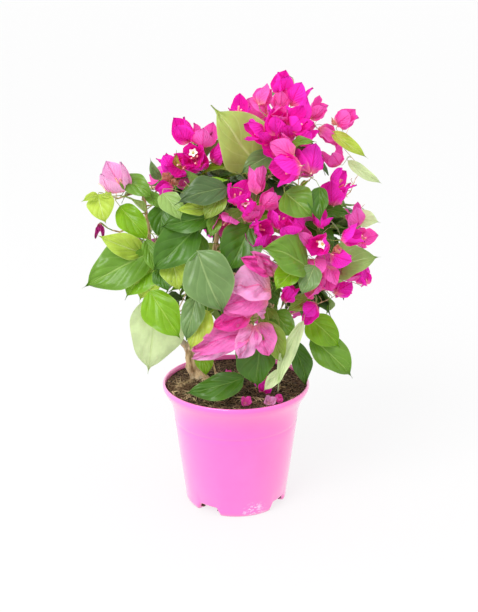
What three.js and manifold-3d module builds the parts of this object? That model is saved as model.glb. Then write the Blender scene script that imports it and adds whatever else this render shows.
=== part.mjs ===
// A young bougainvillea bush in its plastic nursery pot, in millimetres, +Z up.
// The origin is the centre of the pot's underside, X runs across the bush's broad side and -Y is its front.
// The pot holds a root ball. A short trunk leans out of it and forks into boughs, and the boughs carry
// the masses of leaves and blossom, each one closed solid.
import * as THREE from "three";
import { mergeVertices } from "three/addons/utils/BufferGeometryUtils.js";
import Module from "manifold-3d";

const wasm = await Module();
wasm.setup();

// ---- driving dimensions ----
const POT = {
  height: 147,
  footRadius: 60,
  wallRadius: 71.8, // at the top of the tapered wall
  wallTop: 101,
  collarRadius: 76.6, // the plain band between the tapered wall and the flare
  collarFoot: 106,
  collarTop: 124,
  collarTaper: 1.4, // how much narrower the collar is at its foot
  flareRadius: 83.6, // where the flare meets the lip
  flareTop: 138,
  lipRadius: 85.3,
  lipFoot: 141,
  lipWidth: 3.2,
  wall: 1.6,
  floor: 2,
  sides: 32,
};
const FEET = {
  count: 4,
  firstTurn: 12, // degrees from the front, to the middle of the front foot
  notchTurn: 25, // degrees between two feet, at the top of the notch
  notchSpread: 1.5, // how much wider a notch is at the ground
  notchHeight: 9,
  hubRadius: 20, // the flat middle of the underside, level with the feet
  drainSide: 4.5,
  drainLength: 11, // through the side of a channel
  drainInset: 5.5, // from the foot's edge
  drainTurn: 15.5, // degrees from the middle of a notch
};
const SOIL = { level: 135, clear: 0.4 };
const TRUNK = {
  foot: [-41, 12], // where its axis leaves the soil
  lean: [-16, 2, 42], // from there to the fork
  footRadius: 6.5,
  topRadius: 4.6,
  flare: 4.5, // how far the root flare swells beyond the foot
  flareHeight: 14,
  sides: 10,
  steps: 10,
};
const BOUGH = { tipShare: 0.55, sides: 6, steps: 9 };
const CROWN = { halfWidth: 170, halfDepth: 120, foot: 140, height: 366 };
const GAP = 0.35; // left between two pieces that meet

// ---- looks ----
const finishes = {
  pot: { color: 0xff85dd, roughness: 0.45, metalness: 0 },
  soil: { color: 0x3a2b1e, roughness: 0.95, metalness: 0 },
  bark: { color: 0xb59a78, roughness: 0.85, metalness: 0 },
  leaf: { color: 0x5d8a2c, roughness: 0.55, metalness: 0 },
  blossom: { color: 0xf51ca8, roughness: 0.7, metalness: 0 },
};

// ---- solids and booleans ----
function solidOf(geometry) {
  const bare = geometry.clone();
  for (const name of Object.keys(bare.attributes)) {
    if (name !== "position") bare.deleteAttribute(name);
  }
  const merged = mergeVertices(bare, 1e-4);
  const mesh = new wasm.Mesh({
    numProp: 3,
    vertProperties: new Float32Array(merged.attributes.position.array),
    triVerts: new Uint32Array(merged.index.array),
  });
  return new wasm.Manifold(mesh);
}

function geometryOf(solid) {
  const mesh = solid.getMesh();
  const geometry = new THREE.BufferGeometry();
  geometry.setAttribute("position", new THREE.BufferAttribute(mesh.vertProperties, 3));
  geometry.setIndex(new THREE.BufferAttribute(mesh.triVerts, 1));
  geometry.computeVertexNormals();
  return geometry;
}

// Of the bodies that a cut leaves, the one that scores highest.
function bestBody(solid, score) {
  const bodies = solid.decompose();
  return bodies.reduce((best, body) => (score(body) > score(best) ? body : best));
}

const byVolume = (body) => body.volume();

// ---- seeded numbers, so that every build is the same ----
function seeded(seed) {
  let state = seed * 2654435761;
  return () => {
    state = (state + 0x6d2b79f5) | 0;
    let mixed = Math.imul(state ^ (state >>> 15), 1 | state);
    mixed = (mixed + Math.imul(mixed ^ (mixed >>> 7), 61 | mixed)) ^ mixed;
    return ((mixed ^ (mixed >>> 14)) >>> 0) / 4294967296;
  };
}

// ---- pot ----
// LatheGeometry turns its profile about Y; this stands it up on Z. The profile runs bottom to top outside.
function turned(profile, sides) {
  const points = profile.map(([radius, height]) => new THREE.Vector2(radius, height));
  return new THREE.LatheGeometry(points, sides).rotateX(Math.PI / 2);
}

// Radius and height of the wall from the foot to the top of the flare, moved inwards by inset.
function wallProfile(inset, base) {
  const flare = [0.5, 1].map((share) => [
    THREE.MathUtils.lerp(POT.collarRadius, POT.flareRadius, share * share) - inset,
    THREE.MathUtils.lerp(POT.collarTop, POT.flareTop, share),
  ]);
  return [
    [0, base],
    [POT.footRadius - inset, base],
    [POT.wallRadius - inset, POT.wallTop],
    [POT.collarRadius - POT.collarTaper - inset, POT.collarFoot],
    [POT.collarRadius - inset, POT.collarTop],
    ...flare,
  ];
}

function potOutside() {
  const lip = [POT.lipFoot, POT.height].map((height) => [POT.lipRadius, height]);
  return solidOf(turned([...wallProfile(0, 0), ...lip, [0, POT.height]], POT.sides));
}

// The room inside the wall, less the covers of the drainage channels. clear holds it back from the plastic.
function potInside(clear) {
  const mouth = POT.lipRadius - POT.lipWidth - clear;
  const top = POT.height + 1;
  const wall = wallProfile(POT.wall + clear, POT.floor + clear);
  const room = turned([...wall, [mouth, POT.lipFoot], [mouth, top], [0, top]], POT.sides);
  return solidOf(room).subtract(channels(POT.wall + clear));
}

function makeRootBall() {
  return bestBody(potInside(SOIL.clear).subtract(blockAbove(SOIL.level)), byVolume);
}

// Everything above a level, as one block.
function blockAbove(level) {
  const side = 4 * POT.lipRadius;
  return solidOf(new THREE.BoxGeometry(side, side, side).translate(0, 0, level + side / 2));
}

// Joins what make(turn) gives for the middle of each notch between two feet.
function atEachNotch(make) {
  const pitch = 360 / FEET.count;
  const turns = Array.from({ length: FEET.count }, (_, i) => FEET.firstTurn + (i + 0.5) * pitch);
  return turns.map((turn) => make(THREE.MathUtils.degToRad(turn))).reduce((all, one) => all.add(one));
}

const halfNotch = THREE.MathUtils.degToRad(FEET.notchTurn / 2);

// The channels under the floor, one for each notch. grow widens and raises them into their covers.
function channels(grow) {
  const reach = POT.lipRadius;
  const spread = (POT.footRadius * Math.tan(halfNotch)) / (POT.footRadius - FEET.hubRadius);
  const side = spread * (reach - FEET.hubRadius) + grow;
  const wedge = new THREE.Shape([
    new THREE.Vector2(-grow, grow - FEET.hubRadius),
    new THREE.Vector2(-side, -reach),
    new THREE.Vector2(side, -reach),
    new THREE.Vector2(grow, grow - FEET.hubRadius),
  ]);
  const depth = FEET.notchHeight + grow + 1;
  return atEachNotch((turn) => {
    const block = new THREE.ExtrudeGeometry(wedge, { depth, bevelEnabled: false });
    block.translate(0, 0, -1);
    const place = block.attributes.position;
    for (let i = 0; i < place.count; i++) {
      if (place.getZ(i) < 0) place.setX(i, place.getX(i) * FEET.notchSpread);
    }
    return solidOf(block.rotateZ(turn));
  });
}

// The drain slots, at the outer ends of both sides of each channel.
function drains() {
  const side = FEET.drainSide;
  return atEachNotch((turn) => {
    const slots = [-1, 1].map((way) => {
      const block = new THREE.BoxGeometry(FEET.drainLength, side, side);
      block.translate(0, FEET.drainInset - POT.footRadius, FEET.notchHeight - 0.7 * side);
      return solidOf(block.rotateZ(turn + way * THREE.MathUtils.degToRad(FEET.drainTurn)));
    });
    return slots[0].add(slots[1]);
  });
}

function makePot() {
  const shell = potOutside().subtract(potInside(0)).subtract(channels(0)).subtract(drains());
  return bestBody(shell, byVolume);
}

// ---- limbs ----
// A round limb along a curve: a turned profile of radiusAt(share) whose length is laid along the curve.
function limb(curve, radiusAt, sides, steps) {
  const profile = [[0, 0]];
  for (let i = 0; i <= steps; i++) profile.push([radiusAt(i / steps), i / steps]);
  profile.push([0, 1]);
  const geometry = turned(profile, sides);
  const place = geometry.attributes.position;
  for (let i = 0; i < place.count; i++) {
    const share = THREE.MathUtils.clamp(place.getZ(i), 0, 1);
    const along = curve.getTangentAt(share);
    const across = new THREE.Vector3(0, 1, 0).cross(along).normalize();
    const out = along.clone().cross(across);
    const point = curve.getPointAt(share);
    point.addScaledVector(across, place.getX(i)).addScaledVector(out, place.getY(i));
    place.setXYZ(i, point.x, point.y, point.z);
  }
  return solidOf(geometry);
}

const curveOf = (points) => new THREE.CatmullRomCurve3(points.map((p) => new THREE.Vector3(...p)));

// The trunk leans to the left on its way up. Its axis starts under the soil, so that it is cut flat there.
const trunkFoot = [...TRUNK.foot, SOIL.level];
const alongTrunk = (share) => trunkFoot.map((value, axis) => value + TRUNK.lean[axis] * share);
const FORK = alongTrunk(1);
const buried = alongTrunk(-0.25);
const trunkCurve = curveOf([buried, trunkFoot, FORK]);

function makeTrunk(grow) {
  const length = trunkCurve.getLength();
  const radiusAt = (share) => {
    const above = Math.max(share * length - (SOIL.level - buried[2]), 0);
    const taper = THREE.MathUtils.lerp(TRUNK.footRadius, TRUNK.topRadius, share);
    return taper + TRUNK.flare * Math.exp((-2 * above) / TRUNK.flareHeight) + grow;
  };
  const whole = limb(trunkCurve, radiusAt, TRUNK.sides, TRUNK.steps);
  return whole.intersect(blockAbove(SOIL.level + GAP - grow));
}

// Each bough runs from the fork by way of one bend to its tip. bend and tip are shares of the crown.
const boughs = [
  { name: "bough_left", radius: 3.6, bend: [-0.5, 0.06, 0.24], tip: [-0.6, 0.0, 0.62] },
  { name: "bough_centre", radius: 4.2, bend: [-0.22, 0.12, 0.26], tip: [0.0, 0.05, 0.8] },
  { name: "bough_right", radius: 3.8, bend: [0.05, 0.05, 0.17], tip: [0.5, 0.0, 0.6] },
  { name: "bough_front", radius: 3.2, bend: [-0.16, -0.2, 0.15], tip: [0.05, -0.5, 0.4] },
  { name: "bough_back", radius: 3.4, bend: [-0.2, 0.38, 0.2], tip: [0.0, 0.6, 0.5] },
];

// A place in the crown from shares of its half width, half depth and height.
function inCrown([across, deep, up]) {
  return [across * CROWN.halfWidth, deep * CROWN.halfDepth, CROWN.foot + up * CROWN.height];
}

function makeBough({ radius, bend, tip }) {
  const start = alongTrunk(0.94);
  const radiusAt = (share) => THREE.MathUtils.lerp(radius, radius * BOUGH.tipShare, share);
  return limb(curveOf([start, inCrown(bend), inCrown(tip)]), radiusAt, BOUGH.sides, BOUGH.steps);
}

// ---- masses ----
// Half sizes in millimetres, for the few kinds of mass that the crown is made of.
const SIZE = {
  spray: [30, 30, 30], // bracts or leaves round one shoot
  small: [20, 25, 26],
  broad: [38, 33, 31], // leaves side by side
  upright: [26, 22, 40], // one leaf held up or hanging down
  slip: [18, 15, 38],
  flat: [38, 26, 18],
  sliver: [28, 14, 16],
  bough: [46, 40, 44], // the end of a whole bough
  core: [76, 45, 46],
};

// at: shares of the crown's half width, half depth and height. size: one of the sizes above.
// tip: the way in which a mass draws out to a point. fine masses get more facets.
// The first in the list keep their full shape, and later ones are cut round them.
const masses = [
  { name: "blossom_top", of: "blossom", at: [0.3, 0, 0.9], size: "spray", fine: true },
  { name: "leaf_crest", of: "leaf", at: [0, 0, 0.8], size: "upright", tip: [-0.5, 0, 1] },
  { name: "blossom_top_front", of: "blossom", at: [0.2, -0.4, 0.85], size: "spray" },
  { name: "blossom_top_right", of: "blossom", at: [0.5, 0, 0.85], size: "small" },
  { name: "blossom_pair", of: "blossom", at: [0.4, -0.6, 0.75], size: "spray" },
  { name: "sprig_right_high", of: "blossom", at: [0.7, 0, 0.8], size: "small" },
  { name: "leaf_right_slender", of: "leaf", at: [0.8, 0, 0.7], size: "sliver", tip: [1, 0, -0.6] },
  { name: "blossom_right_fan", of: "blossom", at: [0.7, -0.2, 0.65], size: "small" },
  { name: "blossom_right_edge", of: "blossom", at: [0.8, 0, 0.55], size: "small" },
  { name: "leaves_right_edge", of: "leaf", at: [0.8, -0.2, 0.45], size: "spray", tip: [1, 0, 0.4] },
  { name: "blossom_right_low", of: "blossom", at: [0.6, -0.4, 0.35], size: "spray" },
  { name: "blossom_heart", of: "blossom", at: [0.5, -0.6, 0.55], size: "spray" },
  { name: "blossom_middle", of: "blossom", at: [0.1, -0.6, 0.65], size: "spray", fine: true },
  { name: "leaves_middle_right", of: "leaf", at: [0.4, -0.4, 0.65], size: "spray" },
  { name: "leaves_middle_high", of: "leaf", at: [0.2, -0.2, 0.7], size: "flat" },
  { name: "blossom_left", of: "blossom", at: [-0.2, 0, 0.75], size: "spray" },
  { name: "blossom_left_low", of: "blossom", at: [-0.4, 0, 0.7], size: "small" },
  { name: "leaves_shoulder", of: "leaf", at: [-0.2, -0.6, 0.65], size: "broad" },
  { name: "blossom_far_left", of: "blossom", at: [-0.8, -0.2, 0.65], size: "small" },
  { name: "leaves_far_left", of: "leaf", at: [-0.8, -0.2, 0.55], size: "spray", tip: [-1, 0, 0.5] },
  { name: "leaves_left_high", of: "leaf", at: [-0.6, -0.2, 0.6], size: "spray" },
  { name: "leaves_left", of: "leaf", at: [-0.7, -0.4, 0.45], size: "broad", tip: [-1, 0, -0.6] },
  { name: "leaves_left_middle", of: "leaf", at: [-0.3, -0.6, 0.5], size: "broad" },
  { name: "leaf_centre", of: "leaf", at: [-0.2, -0.8, 0.45], size: "upright", tip: [0.3, 0, -1] },
  { name: "leaves_centre_dark", of: "leaf", at: [0, -0.6, 0.55], size: "spray" },
  { name: "leaves_centre_right", of: "leaf", at: [0.3, -0.7, 0.5], size: "broad", fine: true },
  { name: "blossom_pale_high", of: "blossom", at: [0.1, -0.7, 0.45], size: "spray" },
  { name: "blossom_pale_low", of: "blossom", at: [0, -0.6, 0.3], size: "broad", fine: true },
  { name: "leaves_left_low", of: "leaf", at: [-0.4, -0.4, 0.3], size: "broad" },
  { name: "leaf_left_hanging", of: "leaf", at: [-0.6, -0.2, 0.2], size: "upright", tip: [0.1, 0, -1] },
  { name: "leaf_foot_middle", of: "leaf", at: [0.1, -0.4, 0.15], size: "upright", tip: [0.5, 0, -1] },
  { name: "leaf_over_soil", of: "leaf", at: [-0.1, -0.4, 0.05], size: "flat", tip: [-1, 0, 0] },
  { name: "leaves_right_low", of: "leaf", at: [0.3, -0.4, 0.3], size: "spray" },
  { name: "leaves_right_skirt", of: "leaf", at: [0.6, -0.2, 0.15], size: "upright", tip: [1, 0, -1] },
  { name: "leaf_front_hanging", of: "leaf", at: [0.3, -0.6, 0.2], size: "slip", tip: [-0.7, 0, -1] },
  { name: "leaf_right_foot", of: "leaf", at: [0.4, 0, 0.1], size: "slip", tip: [0.4, 0, -1] },
  { name: "leaves_back_top", of: "leaf", at: [0.2, 0.4, 0.75], size: "bough" },
  { name: "leaves_back_left_high", of: "leaf", at: [-0.3, 0.5, 0.6], size: "bough", fine: true },
  { name: "leaves_back_right_high", of: "leaf", at: [0.6, 0.4, 0.5], size: "bough", fine: true },
  { name: "leaves_back_left_low", of: "leaf", at: [-0.6, 0.4, 0.4], size: "bough" },
  { name: "leaves_back_right_low", of: "leaf", at: [0.5, 0.4, 0.3], size: "bough" },
  { name: "leaves_back_middle", of: "leaf", at: [0, 0.6, 0.5], size: "bough" },
  { name: "leaves_back_low", of: "leaf", at: [0, 0.5, 0.25], size: "bough" },
  { name: "leaves_core_high", of: "leaf", at: [0, 0, 0.6], size: "core" },
  { name: "leaves_core_low", of: "leaf", at: [0, 0, 0.35], size: "core" },
];

// A round solid with broad seeded lobes and at most one drawn-out tip, stretched to fill its size.
// grow makes it larger all round.
function unevenMass({ size, tip, fine }, centre, seed, grow) {
  const random = seeded(seed);
  const lobes = Array.from({ length: 7 }, () => ({
    way: new THREE.Vector3(random() - 0.5, random() - 0.5, random() - 0.5).normalize(),
    rise: 0.1 + 0.25 * random(),
    narrow: 9,
  }));
  if (tip) lobes.push({ way: new THREE.Vector3(...tip).normalize(), rise: 0.7, narrow: 7 });
  const geometry = new THREE.IcosahedronGeometry(1, fine ? 2 : 1);
  const place = geometry.attributes.position;
  const way = new THREE.Vector3();
  for (let i = 0; i < place.count; i++) {
    way.fromBufferAttribute(place, i).normalize();
    const reach = lobes.reduce((sum, { way: to, rise, narrow }) => {
      return sum + rise * Math.exp(-narrow * (1 - to.dot(way)));
    }, 0.8);
    place.setXYZ(i, way.x * reach, way.y * reach, way.z * reach);
  }
  geometry.computeBoundingBox();
  const middle = geometry.boundingBox.getCenter(new THREE.Vector3());
  const extent = geometry.boundingBox.getSize(new THREE.Vector3()).toArray();
  geometry.translate(-middle.x, -middle.y, -middle.z);
  geometry.scale(...SIZE[size].map((value, axis) => (2 * (value + grow)) / extent[axis]));
  return solidOf(geometry.translate(...centre));
}

// ---- assembly ----
const bush = new THREE.Group();

function addPiece(name, solid, finish) {
  const mesh = new THREE.Mesh(geometryOf(solid), new THREE.MeshStandardMaterial(finishes[finish]));
  mesh.name = name;
  bush.add(mesh);
}

addPiece("pot", makePot(), "pot");
addPiece("root_ball", makeRootBall(), "soil");
addPiece("trunk", makeTrunk(0), "bark");

// The room of the pot and all that it holds, grown by the gap at its lip.
const wider = 1 + GAP / POT.lipRadius;
const potRoom = potOutside().scale([wider, wider, 1]).translate([0, 0, GAP]);
let taken = potRoom.add(makeTrunk(GAP));
masses.forEach((mass, i) => {
  const centre = inCrown(mass.at);
  const solid = bestBody(unevenMass(mass, centre, i + 1, 0).subtract(taken), byVolume);
  addPiece(mass.name, solid, mass.of);
  taken = taken.add(unevenMass(mass, centre, i + 1, GAP));
});

// The boughs stop where they enter a mass, and of each the stretch at the fork is kept.
const nearFork = (body) => {
  const box = body.boundingBox();
  const reach = FORK.map((value, axis) => Math.max(box.min[axis] - value, value - box.max[axis], 0));
  return -Math.hypot(...reach);
};
for (const bough of boughs) {
  const whole = makeBough(bough);
  addPiece(bough.name, bestBody(whole.subtract(taken), nearFork), "bark");
  taken = taken.add(makeBough({ ...bough, radius: bough.radius + GAP }));
}

export default bush;
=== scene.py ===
import math

import bmesh
import bpy
import numpy as np
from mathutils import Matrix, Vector, noise


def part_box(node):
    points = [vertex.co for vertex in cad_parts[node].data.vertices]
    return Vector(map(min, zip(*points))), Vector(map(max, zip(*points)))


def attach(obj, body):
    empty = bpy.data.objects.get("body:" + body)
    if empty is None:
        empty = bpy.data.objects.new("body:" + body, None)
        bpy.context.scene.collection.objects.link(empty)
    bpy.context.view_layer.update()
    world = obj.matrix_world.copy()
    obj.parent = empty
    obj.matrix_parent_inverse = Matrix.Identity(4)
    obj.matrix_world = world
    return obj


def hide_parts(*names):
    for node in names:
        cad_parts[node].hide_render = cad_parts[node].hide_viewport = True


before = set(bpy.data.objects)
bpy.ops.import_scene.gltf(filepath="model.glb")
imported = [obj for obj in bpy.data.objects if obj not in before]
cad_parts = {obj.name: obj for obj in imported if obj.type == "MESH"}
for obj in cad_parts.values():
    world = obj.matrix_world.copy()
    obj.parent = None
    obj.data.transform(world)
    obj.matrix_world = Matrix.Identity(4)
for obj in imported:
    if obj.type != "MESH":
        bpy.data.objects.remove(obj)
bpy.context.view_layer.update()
scene = bpy.context.scene
mm = 0.001


def newThing(name, data):
    thing = bpy.data.objects.new(name, data)
    scene.collection.objects.link(thing)
    return thing


# The view: a long lens that looks down a little on the bush.
view = {"aim": (0.0035, 0, 0.2385), "distance": 1.26, "above": 18.6, "lens": 65}

tilt = math.radians(view["above"])
cameraData = bpy.data.cameras.new("camera")
cameraData.lens = view["lens"]
cameraData.sensor_width = 36
camera = newThing("camera", cameraData)
camera.location = Vector(view["aim"]) + view["distance"] * Vector((0, -math.cos(tilt), math.sin(tilt)))
camera.rotation_euler = (math.pi / 2 - tilt, 0, 0)
scene.camera = camera
scene.view_settings.view_transform = "Standard"

# The light: a white room, a broad soft lamp from the upper left and a floor that glows a little.
light = {
    "sky": 1.27, "key": 48, "keySize": 1.3, "keyPlace": (-1.0, -1.6, 2.0),
    "floor": 0.14, "glow": 0.77, "floorSize": 40,
}

world = bpy.data.worlds.new("whiteRoom")
world.use_nodes = True
background = world.node_tree.nodes["Background"].inputs
background["Color"].default_value = (1, 1, 1, 1)
background["Strength"].default_value = light["sky"]
scene.world = world

keyData = bpy.data.lights.new("key", "AREA")
keyData.energy = light["key"]
keyData.size = light["keySize"]
key = newThing("key", keyData)
key.location = light["keyPlace"]
key.rotation_euler = (Vector(view["aim"]) - key.location).to_track_quat("-Z", "Y").to_euler()


def newObject(name, mesh, material):
    # a piece at the origin, with its place in its mesh
    piece = newThing(name, mesh)
    mesh.materials.clear()
    mesh.materials.append(material)
    mesh.shade_smooth()
    return piece


def finished(name, bm, material):
    # a piece of the faces built so far
    mesh = bpy.data.meshes.new(name)
    bm.to_mesh(mesh)
    bm.free()
    return newObject(name, mesh, material)


def evaluated(holder):
    # the mesh that an object's modifiers or bevel give, in place of the object
    bpy.context.view_layer.update()
    mesh = bpy.data.meshes.new_from_object(holder.evaluated_get(bpy.context.evaluated_depsgraph_get()))
    bpy.data.objects.remove(holder)
    return mesh


def aimed(bm, corners, way, place):
    # turns new corners from upright to a way, and takes them to their place
    turn = Vector(way).to_track_quat("Z", "Y").to_matrix()
    bmesh.ops.rotate(bm, verts=corners, cent=(0, 0, 0), matrix=turn)
    bmesh.ops.translate(bm, verts=corners, vec=Vector(place))


def settle(piece, nodes):
    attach(piece, "root")
    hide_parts(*nodes)


def row(*numbers):
    return np.array(numbers)


def unit(way):
    return way / max(float(np.linalg.norm(way)), 1e-9)


def lumps(place, size, seed, octaves=3):
    # soft noise between about -1 and 1, in lumps of the given size
    return noise.fractal(Vector(place) / size + Vector((seed * 7.3, seed * 3.1, 0)), 1.0, 2.0, octaves)


# Materials: a few node helpers, and two groups that the finishes share.
def newMaterial(name, roughness, gloss=0.5):
    material = bpy.data.materials.new(name)
    material.use_nodes = True
    shader = material.node_tree.nodes["Principled BSDF"]
    shader.inputs["Roughness"].default_value = roughness
    shader.inputs["Specular IOR Level"].default_value = gloss
    return material, material.node_tree, shader


def feed(tree, socket, value):
    # a socket takes another node's output, a colour or a number
    if isinstance(value, bpy.types.NodeSocket):
        tree.links.new(value, socket)
    elif isinstance(value, tuple):
        socket.default_value = (*value, 1)
    else:
        socket.default_value = value


def addNode(tree, kind, inputs=None, **settings):
    # a node whose settings are made before its sockets are fed
    node = tree.nodes.new("ShaderNode" + kind)
    for name, value in settings.items():
        setattr(node, name, value)
    for socket, value in (inputs or {}).items():
        feed(tree, node.inputs[socket], value)
    return node.outputs


def mixColour(tree, factor, first, second):
    return addNode(tree, "Mix", {0: factor, 6: first, 7: second}, data_type="RGBA")[2]


def ramp(tree, value, low, high, toLow=0.0, toHigh=1.0):
    ends = {"Value": value, "From Min": low, "From Max": high, "To Min": toLow, "To Max": toHigh}
    return addNode(tree, "MapRange", ends, interpolation_type="SMOOTHSTEP")["Result"]


def calc(tree, operation, first, second=0.0):
    return addNode(tree, "Math", {0: first, 1: second}, operation=operation)[0]


def bump(tree, shader, height, strength, distance):
    normal = addNode(tree, "Bump", {"Strength": strength, "Distance": distance, "Height": height})["Normal"]
    tree.links.new(normal, shader.inputs["Normal"])
    return normal


def makeGroup(name, inputs, outputs):
    group = bpy.data.node_groups.new(name, "ShaderNodeTree")
    for socket, kind in inputs.items():
        group.interface.new_socket(socket, in_out="INPUT", socket_type="NodeSocket" + kind)
    for socket in outputs:
        group.interface.new_socket(socket, in_out="OUTPUT", socket_type="NodeSocketFloat")
    return group, group.nodes.new("NodeGroupInput").outputs, group.nodes.new("NodeGroupOutput").inputs


def makeGrainGroup():
    # fine noise in the piece's own space: Height as it is, and Mask between two of its levels
    group, given, made = makeGroup(
        "grain", {"Scale": "Float", "Stretch": "Vector", "Low": "Float", "High": "Float"}, ["Mask", "Height"]
    )
    own = addNode(group, "TexCoord")["Object"]
    turned = addNode(group, "Mapping", {"Vector": own, "Scale": given["Stretch"]})["Vector"]
    settings = {"Vector": turned, "Scale": given["Scale"], "Detail": 4, "Roughness": 0.6}
    cloud = addNode(group, "TexNoise", settings)["Fac"]
    group.links.new(cloud, made["Height"])
    group.links.new(ramp(group, cloud, given["Low"], given["High"]), made["Mask"])
    return group


def makeVeinGroup():
    # masks on a blade's own map: its midrib, its side veins, its margin and the swelling between the veins
    group, given, made = makeGroup(
        "veins", {"Map": "Vector", "Pairs": "Float"}, ["Midrib", "Veins", "Margin", "Swell", "Heart"]
    )
    across, along, _ = addNode(group, "SeparateXYZ", {0: given["Map"]})
    aside = calc(group, "ABSOLUTE", calc(group, "SUBTRACT", across, 0.5))
    # the side veins leave the midrib in pairs and sweep towards the tip
    sweep = calc(group, "SUBTRACT", along, calc(group, "POWER", aside, 0.8))
    place = calc(group, "FRACT", calc(group, "MULTIPLY", sweep, given["Pairs"]))
    off = calc(group, "ABSOLUTE", calc(group, "SUBTRACT", place, 0.5))
    fade = ramp(group, aside, 0.3, 0.47, 1, 0)
    masks = {
        "Midrib": ramp(group, aside, 0.008, 0.035, 1, 0),
        "Veins": calc(group, "MULTIPLY", ramp(group, off, 0.0, 0.09, 1, 0), fade),
        "Margin": ramp(group, aside, 0.46, 0.5),
        "Heart": ramp(group, along, 0.0, 0.3, 1, 0),
        "Swell": calc(group, "MULTIPLY", ramp(group, off, 0.0, 0.4), fade),
    }
    for name, mask in masks.items():
        group.links.new(mask, made[name])
    return group


grainGroup = makeGrainGroup()
veinGroup = makeVeinGroup()


def grain(tree, scale, low=0.35, high=0.65, stretch=(1, 1, 1)):
    inputs = {"Scale": scale, "Stretch": Vector(stretch), "Low": low, "High": high}
    return addNode(tree, "Group", inputs, node_tree=grainGroup)


def twoTone(name, roughness, gloss, first, second, grains, rough=None):
    # a finish that varies between two colours in grains. rough is the scale, strength and depth of a relief
    material, tree, shader = newMaterial(name, roughness, gloss)
    tree.links.new(mixColour(tree, grain(tree, *grains)["Mask"], first, second), shader.inputs["Base Color"])
    if rough:
        scale, strength, depth = rough
        bump(tree, shader, grain(tree, scale)["Height"], strength, depth * mm)
    return material


# The floor.
floorMaterial, tree, shader = newMaterial("whiteFloor", 0.9, 0.1)
feed(tree, shader.inputs["Base Color"], (light["floor"],) * 3)
feed(tree, shader.inputs["Emission Color"], (1, 1, 1))
feed(tree, shader.inputs["Emission Strength"], light["glow"])
bm = bmesh.new()
bmesh.ops.create_grid(bm, x_segments=1, y_segments=1, size=light["floorSize"])
finished("floor", bm, floorMaterial)
print("view, light and floor")

# The pot, in millimetres and degrees: a spun shell whose foot is raised into notches.
pot = {
    "foot": 59, "toe": 2.5, "wallFoot": 60.8, "wallFrom": 12, "wallTop": 72, "wallTopAt": 103, "groove": 0.22,
    "flare": 83.4, "flareAt": 138, "lipFrom": 141, "roll": 1.7, "wall": 1.6, "floor": 2, "turns": 216,
    "notches": 4, "firstNotch": 57, "notchHalf": 10, "slope": 6, "notchHeight": 9, "blend": 24,
    "hub": 20, "web": 38, "rise": 14, "drain": 6, "drainAt": 5.6, "drainIn": 5, "drainAside": 5,
    "drainLength": 12,
}
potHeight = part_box("pot")[1][2] / mm
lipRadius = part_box("pot")[1][0] / mm


def arc(start, stop, bulge, count):
    # a shallow curve between two profile points, which bulges outwards where bulge is above nought
    start, stop = np.array(start, float), np.array(stop, float)
    side = row(stop[1] - start[1], start[0] - stop[0])
    shares = np.linspace(0, 1, count + 1)
    return [tuple(start + (stop - start) * s + side * bulge * 4 * s * (1 - s)) for s in shares]


def potProfile():
    # radius and height, from the middle of the underside up the outside, then down the inside
    p, top = pot, potHeight
    outside = [(0.01, 0), (p["hub"], 0), (p["web"], 0), (p["foot"] - p["toe"], 0)]
    outside += arc((p["foot"] - 0.8, 0.4), (p["wallFoot"] - 0.5, 7), 0.1, 4)
    outside += arc((p["wallFoot"], p["wallFrom"]), (p["wallTop"], p["wallTopAt"] - 1), 0.002, 12)
    outside += [(p["wallTop"] - p["groove"], p["wallTopAt"]), (p["wallTop"] + 0.3, p["wallTopAt"] + 1)]
    outside += arc((p["wallTop"] + 0.6, p["wallTopAt"] + 3), (p["flare"], p["flareAt"]), -0.075, 14)
    outside += arc((lipRadius - 0.6, p["lipFrom"]), (lipRadius, top - 2.6), 0.1, 3)
    outside += arc((lipRadius - 0.15, top - 1.8), (lipRadius - p["roll"], top), 0.2, 4)
    inside = arc((lipRadius - p["roll"] - 0.7, top - 0.2), (lipRadius - 4, top - 4), 0.05, 3)
    inner = p["wallTop"] - p["wall"]
    inside += arc((p["flare"] - 1.8, p["flareAt"] - 1), (inner + 0.6, p["wallTopAt"] + 3), 0.075, 10)
    inside += [(inner, p["wallTopAt"] - 2), (p["wallFoot"] - p["wall"], p["wallFrom"] + 2)]
    inside += [(p["foot"] - 3, p["floor"] + 2)]
    inside += [(reach, p["floor"]) for reach in (p["web"], p["hub"], 0.01)]
    return outside + inside


def spun(profile, turns):
    # a closed shell from a profile of radius and height in millimetres
    bm = bmesh.new()
    line = [bm.verts.new((radius * mm, 0, height * mm)) for radius, height in profile]
    for first, second in zip(line, line[1:]):
        bm.edges.new((first, second))
    whole = bm.verts[:] + bm.edges[:]
    bmesh.ops.spin(
        bm, geom=whole, axis=(0, 0, 1), cent=(0, 0, 0), angle=math.tau, steps=turns, use_merge=True
    )
    bmesh.ops.remove_doubles(bm, verts=bm.verts, dist=0.03 * mm)
    bmesh.ops.recalc_face_normals(bm, faces=bm.faces)
    return bm


def notchShare(x, y):
    # 1 in the middle of a notch and 0 on a foot, with a soft slope between them
    pitch = 360 / pot["notches"]
    turn = math.degrees(math.atan2(x, -y)) - pot["firstNotch"]
    off = abs((turn + pitch / 2) % pitch - pitch / 2)
    share = min(max((pot["notchHalf"] + pot["slope"] - off) / pot["slope"], 0), 1)
    return share * share * (3 - 2 * share)


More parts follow.
